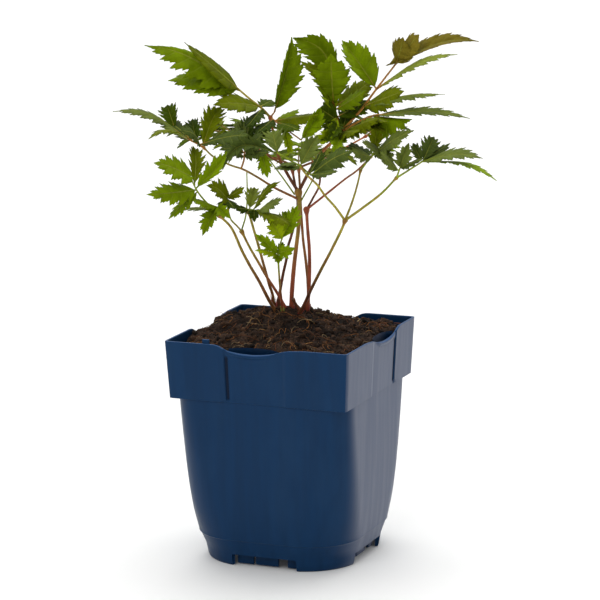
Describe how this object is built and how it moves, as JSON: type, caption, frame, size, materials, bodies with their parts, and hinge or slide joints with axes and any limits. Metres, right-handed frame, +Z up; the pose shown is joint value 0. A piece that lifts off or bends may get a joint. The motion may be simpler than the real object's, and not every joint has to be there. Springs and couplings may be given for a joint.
{
  "type": "potted astilbe",
  "caption": "Young astilbe with toothed compound leaves on red-brown stalks, in soil in a square blue nursery pot with a deep collar.",
  "frame": {"origin": "centre of the pot's underside, on the plane that it stands on", "axes": "+Z up; the pot's front wall faces -Y, its right wall faces +X"},
  "size_m": [0.1896, 0.1838, 0.2438],
  "materials": {
    "pot": "semi-matte, faint vertical moulding streaks",
    "soil": "rough, fibrous",
    "stalks": "smooth, slightly waxy",
    "leaves": "soft sheen, veined",
    "young_leaves": "soft sheen, veined"
  },
  "bodies": {
    "root": {"bough_back_left": "stalks", "bough_back_right": "stalks", "bough_dark_left": "stalks", "bough_front": "stalks", "bough_left": "stalks", "bough_left_small": "stalks", "bough_right_back": "stalks", "bough_right_dark": "stalks", "bough_right_low": "stalks", "bough_right_up": "stalks", "bough_upper_left": "stalks", "bough_upper_right": "stalks", "pot": "pot", "soil": "soil", "spray_back_left_1": "leaves", "spray_back_left_2": "leaves", "spray_back_left_3": "leaves", "spray_back_mid": "leaves", "spray_back_right_1": "leaves", "spray_back_right_2": "leaves", "spray_back_right_3": "leaves", "spray_dark_behind": "leaves", "spray_dark_heart": "leaves", "spray_dark_left": "leaves", "spray_dark_mid": "leaves", "spray_dark_right": "leaves", "spray_front_arch": "leaves", "spray_front_right": "leaves", "spray_left": "leaves", "spray_low_hanging": "young_leaves", "spray_low_left": "young_leaves", "spray_low_shoot": "young_leaves", "spray_low_small": "young_leaves", "spray_mid_dark": "leaves", "spray_mid_left": "young_leaves", "spray_right_back": "leaves", "spray_right_crescent": "leaves", "spray_right_grey": "leaves", "spray_right_low": "leaves", "spray_right_small": "leaves", "spray_top": "leaves", "spray_top_right": "leaves", "spray_under_upright": "leaves", "spray_upper_left": "leaves", "spray_upright": "leaves", "stalk_back": "stalks", "stalk_centre": "stalks", "stalk_dark": "stalks", "stalk_left": "stalks", "stalk_left_high": "stalks", "stalk_left_mid": "stalks", "stalk_low_shoot": "stalks", "stalk_right": "stalks", "stalk_right_mid": "stalks"}
  },
  "joints": []
}
